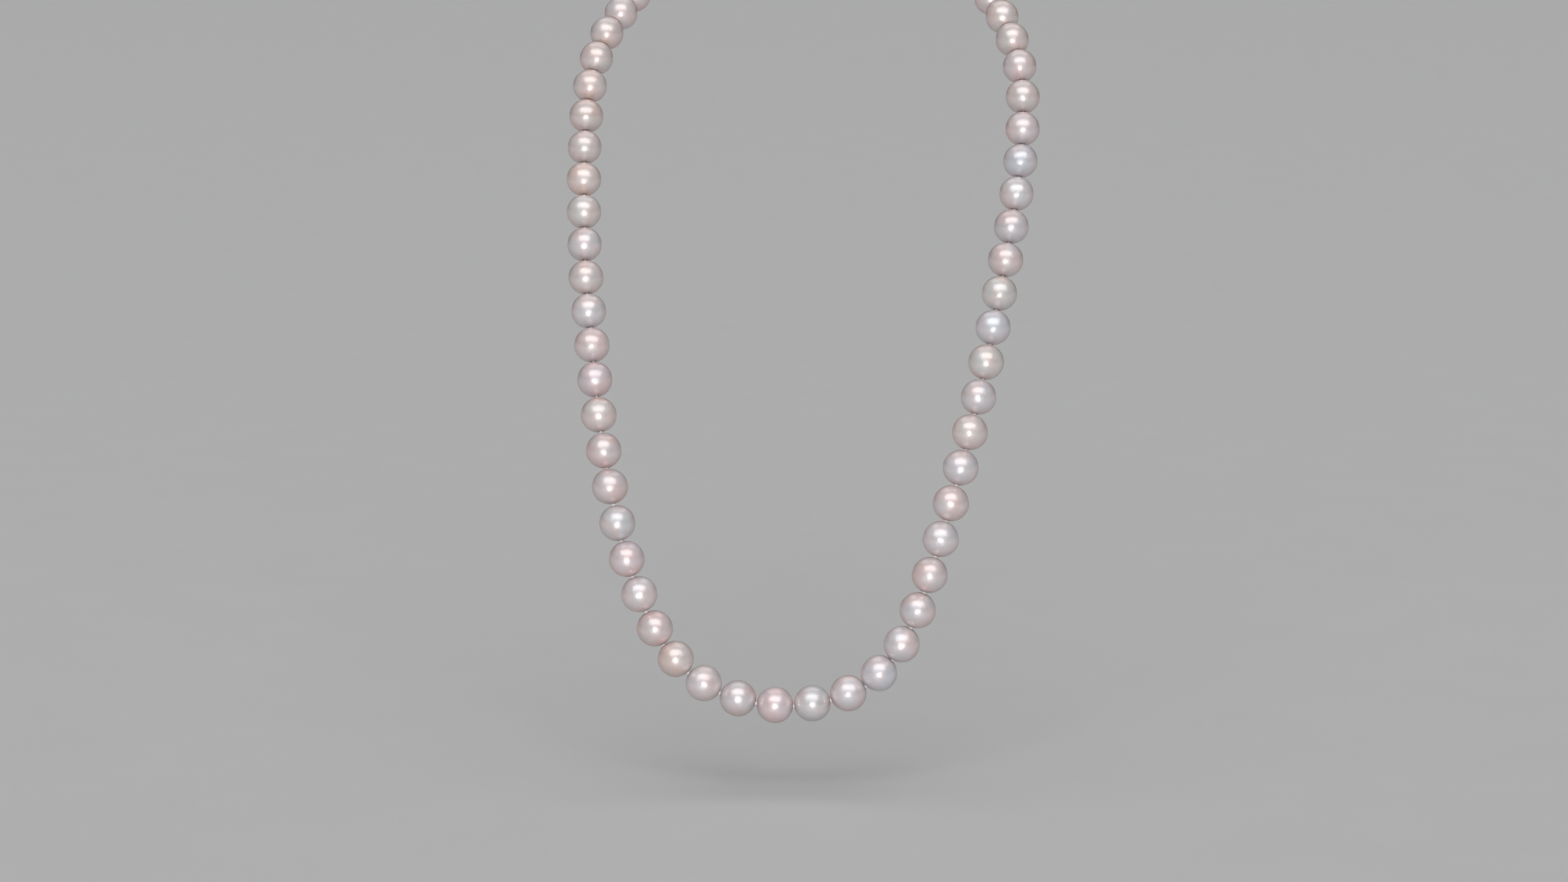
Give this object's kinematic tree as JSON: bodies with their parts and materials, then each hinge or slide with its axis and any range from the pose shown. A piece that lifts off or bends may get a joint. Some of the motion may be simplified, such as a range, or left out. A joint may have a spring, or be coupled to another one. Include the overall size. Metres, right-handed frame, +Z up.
{
  "type": "pearl necklace",
  "caption": "Single strand of round white pearls, knotted on silk between pearls, hanging in a long loop and closed at the nape by a sprung lobster clasp.",
  "frame": {"origin": "on the neck's axis, level with the nape, where the worn strand is held up", "axes": "+Z up, the loop hangs towards -Z; -Y is the wearer's front; +X is the viewer's right from the front"},
  "size_m": [0.1132, 0.1246, 0.1816],
  "materials": {
    "pearl": "polished white nacre, satin glow with rose, cream and silver overtones",
    "silk_thread": "twisted white silk, knotted",
    "clasp_claw": "polished silver",
    "clasp_trigger": "polished silver",
    "trigger_pin": "polished silver",
    "trigger_spring": "drawn spring wire",
    "jump_ring": "polished silver",
    "catch_ring": "polished silver",
    "gimp": "fine coiled silver wire"
  },
  "bodies": {
    "neck_and_clasp_rings": {"neck_pearls_left": "pearl", "neck_pearls_right": "pearl", "pearl_left_25": "pearl", "silk_thread": "silk_thread", "gimp_left": "gimp", "gimp_right": "gimp", "jump_ring": "jump_ring", "catch_ring": "catch_ring"},
    "clasp": {"clasp_claw": "clasp_claw", "trigger_pin": "trigger_pin", "trigger_spring": "trigger_spring"},
    "trigger": {"clasp_trigger": "clasp_trigger"},
    "row_24": {"pearl_left_24": "pearl", "pearl_right_24": "pearl"},
    "row_23": {"pearl_left_23": "pearl", "pearl_right_23": "pearl"},
    "row_22": {"pearl_left_22": "pearl", "pearl_right_22": "pearl"},
    "row_21": {"pearl_left_21": "pearl", "pearl_right_21": "pearl"},
    "row_20": {"pearl_left_20": "pearl", "pearl_right_20": "pearl"},
    "row_19": {"pearl_left_19": "pearl", "pearl_right_19": "pearl"},
    "row_18": {"pearl_left_18": "pearl", "pearl_right_18": "pearl"},
    "row_17": {"pearl_left_17": "pearl", "pearl_right_17": "pearl"},
    "row_16": {"pearl_left_16": "pearl", "pearl_right_16": "pearl"},
    "row_15": {"pearl_left_15": "pearl", "pearl_right_15": "pearl"},
    "row_14": {"pearl_left_14": "pearl", "pearl_right_14": "pearl"},
    "row_13": {"pearl_left_13": "pearl", "pearl_right_13": "pearl"},
    "row_12": {"pearl_left_12": "pearl", "pearl_right_12": "pearl"},
    "row_11": {"pearl_left_11": "pearl", "pearl_right_11": "pearl"},
    "row_10": {"pearl_left_10": "pearl", "pearl_right_10": "pearl"},
    "row_09": {"pearl_left_09": "pearl", "pearl_right_09": "pearl"},
    "row_08": {"pearl_left_08": "pearl", "pearl_right_08": "pearl"},
    "row_07": {"pearl_left_07": "pearl", "pearl_right_07": "pearl"},
    "row_06": {"pearl_left_06": "pearl", "pearl_right_06": "pearl"},
    "row_05": {"pearl_left_05": "pearl", "pearl_right_05": "pearl"},
    "row_04": {"pearl_left_04": "pearl", "pearl_right_04": "pearl"},
    "row_03": {"pearl_left_03": "pearl", "pearl_right_03": "pearl"},
    "row_02": {"pearl_left_02": "pearl", "pearl_right_02": "pearl"},
    "row_01": {"pearl_left_01": "pearl", "pearl_right_01": "pearl"}
  },
  "joints": [
    {"name": "knots_24_bend", "type": "hinge", "parent": "neck_and_clasp_rings", "child": "row_24", "pos_m": [0.0007, 0.00275, -0.01409], "axis": [0.9989, -0.0066, 0.0475], "range_deg": [-18, 18], "stiffness_Nm_per_rad": 0.022, "springref_deg": -45.26, "deforming": ["silk_thread"]},
    {"name": "knots_23_bend", "type": "hinge", "parent": "row_24", "child": "row_23", "pos_m": [0.00034, -0.00393, -0.01798], "axis": [-0.9988, 0.0111, -0.0471], "range_deg": [-18, 18], "stiffness_Nm_per_rad": 0.019, "springref_deg": 45.84},
    {"name": "knots_22_bend", "type": "hinge", "parent": "row_23", "child": "row_22", "pos_m": [0.00025, -0.01017, -0.02287], "axis": [0.9987, -0.0149, 0.0493], "range_deg": [-18, 15], "stiffness_Nm_per_rad": 0.017, "springref_deg": -44.63},
    {"name": "knots_21_bend", "type": "hinge", "parent": "row_22", "child": "row_21", "pos_m": [0.00052, -0.01578, -0.02879], "axis": [-0.9984, 0.0186, -0.0535], "range_deg": [-18, 18], "stiffness_Nm_per_rad": 0.014, "springref_deg": 47.27},
    {"name": "knots_20_bend", "type": "hinge", "parent": "row_21", "child": "row_20", "pos_m": [0.00063, -0.02081, -0.03542], "axis": [0.9984, -0.0183, 0.0533], "range_deg": [-18, 18], "stiffness_Nm_per_rad": 0.013, "springref_deg": -44.52},
    {"name": "knots_19_bend", "type": "hinge", "parent": "row_20", "child": "row_19", "pos_m": [0.00063, -0.02523, -0.04256], "axis": [-0.9986, 0.0146, -0.051], "range_deg": [-18, 18], "stiffness_Nm_per_rad": 0.011, "springref_deg": 46.24},
    {"name": "knots_18_bend", "type": "hinge", "parent": "row_19", "child": "row_18", "pos_m": [0.00048, -0.02952, -0.04981], "axis": [0.9987, -0.0121, 0.05], "range_deg": [-18, 18], "stiffness_Nm_per_rad": 0.0097, "springref_deg": -45.84},
    {"name": "knots_17_bend", "type": "hinge", "parent": "row_18", "child": "row_17", "pos_m": [0.00019, -0.03365, -0.05716], "axis": [-0.9987, 0.0102, -0.0501], "range_deg": [-18, 18], "stiffness_Nm_per_rad": 0.0084, "springref_deg": 45.89},
    {"name": "knots_16_bend", "type": "hinge", "parent": "row_17", "child": "row_16", "pos_m": [-0.00019, -0.03778, -0.0645], "axis": [0.9987, -0.0075, 0.0502], "range_deg": [-18, 18], "stiffness_Nm_per_rad": 0.0072, "springref_deg": -45.78},
    {"name": "knots_15_bend", "type": "hinge", "parent": "row_16", "child": "row_15", "pos_m": [-0.00064, -0.0419, -0.07185], "axis": [-0.9987, 0.0039, -0.0504], "range_deg": [-18, 18], "stiffness_Nm_per_rad": 0.006, "springref_deg": 46.18},
    {"name": "knots_14_bend", "type": "hinge", "parent": "row_15", "child": "row_14", "pos_m": [-0.00094, -0.04594, -0.07925], "axis": [0.9987, -0.0007, 0.0509], "range_deg": [-18, 18], "stiffness_Nm_per_rad": 0.005, "springref_deg": -45.78},
    {"name": "knots_13_bend", "type": "hinge", "parent": "row_14", "child": "row_13", "pos_m": [-0.00114, -0.04989, -0.0867], "axis": [-0.9987, -0.0023, -0.0516], "range_deg": [-18, 18], "stiffness_Nm_per_rad": 0.004, "springref_deg": 46.18},
    {"name": "knots_12_bend", "type": "hinge", "parent": "row_13", "child": "row_12", "pos_m": [-0.00144, -0.05364, -0.09426], "axis": [0.9986, 0.007, 0.0521], "range_deg": [-18, 18], "stiffness_Nm_per_rad": 0.0032, "springref_deg": -45.61},
    {"name": "knots_11_bend", "type": "hinge", "parent": "row_12", "child": "row_11", "pos_m": [-0.0018, -0.05719, -0.10193], "axis": [-0.9985, -0.013, -0.0525], "range_deg": [-18, 18], "stiffness_Nm_per_rad": 0.0024, "springref_deg": 46.64},
    {"name": "knots_10_bend", "type": "hinge", "parent": "row_11", "child": "row_10", "pos_m": [-0.0021, -0.06042, -0.10973], "axis": [0.9984, 0.0164, 0.0548], "range_deg": [-18, 18], "stiffness_Nm_per_rad": 0.0018, "springref_deg": -46.47},
    {"name": "knots_09_bend", "type": "hinge", "parent": "row_10", "child": "row_09", "pos_m": [-0.00236, -0.06333, -0.11763], "axis": [-0.9981, -0.0174, -0.0587], "range_deg": [-18, 18], "stiffness_Nm_per_rad": 0.0013, "springref_deg": 46.58},
    {"name": "knots_08_bend", "type": "hinge", "parent": "row_09", "child": "row_08", "pos_m": [-0.00259, -0.06591, -0.12563], "axis": [0.9978, 0.015, 0.0642], "range_deg": [-18, 18], "stiffness_Nm_per_rad": 0.00092, "springref_deg": -45.72},
    {"name": "knots_07_bend", "type": "hinge", "parent": "row_08", "child": "row_07", "pos_m": [-0.00275, -0.06817, -0.1337], "axis": [-0.9974, -0.009, -0.071], "range_deg": [-18, 18], "stiffness_Nm_per_rad": 0.0006, "springref_deg": 46.24},
    {"name": "knots_06_bend", "type": "hinge", "parent": "row_07", "child": "row_06", "pos_m": [-0.00261, -0.07008, -0.14176], "axis": [0.9971, 0.0034, 0.0766], "range_deg": [-18, 18], "stiffness_Nm_per_rad": 0.00037, "springref_deg": -46.41},
    {"name": "knots_05_bend", "type": "hinge", "parent": "row_06", "child": "row_05", "pos_m": [-0.00222, -0.07164, -0.14979], "axis": [-0.9968, 0.0016, -0.0805], "range_deg": [-18, 18], "stiffness_Nm_per_rad": 0.00021, "springref_deg": 46.87},
    {"name": "knots_04_bend", "type": "hinge", "parent": "row_05", "child": "row_04", "pos_m": [-0.00168, -0.07295, -0.15762], "axis": [0.9966, -0.0028, 0.0824], "range_deg": [-18, 18], "stiffness_Nm_per_rad": 0.0001, "springref_deg": -48.01},
    {"name": "knots_03_bend", "type": "hinge", "parent": "row_04", "child": "row_03", "pos_m": [-0.0009, -0.07393, -0.16462], "axis": [-0.9971, 0.0026, -0.0764], "range_deg": [-18, 18], "stiffness_Nm_per_rad": 0.000041, "springref_deg": 45.89},
    {"name": "knots_02_bend", "type": "hinge", "parent": "row_03", "child": "row_02", "pos_m": [-0.00027, -0.07461, -0.16991], "axis": [0.9981, -0.0026, 0.0615], "range_deg": [-18, 18], "stiffness_Nm_per_rad": 0.0000096, "springref_deg": -45.78},
    {"name": "knots_01_bend", "type": "hinge", "parent": "row_02", "child": "row_01", "pos_m": [-0.00007, -0.07492, -0.1728], "axis": [-0.9984, -0.0006, -0.0565], "range_deg": [-18, 18], "stiffness_Nm_per_rad": 0.000002, "springref_deg": 17.36},
    {"name": "clasp_roll", "type": "hinge", "parent": "neck_and_clasp_rings", "child": "clasp", "pos_m": [0.00156, 0.0425, 0], "axis": [1, 0, 0], "range_deg": [-15, 15]},
    {"name": "trigger_open", "type": "hinge", "parent": "clasp", "child": "trigger", "pos_m": [-0.00103, 0.0425, -0.00244], "axis": [0, -1, 0], "range_deg": [0, 12], "stiffness_Nm_per_rad": 0.002, "springref_deg": -14.32, "deforming": ["trigger_spring"]}
  ]
}
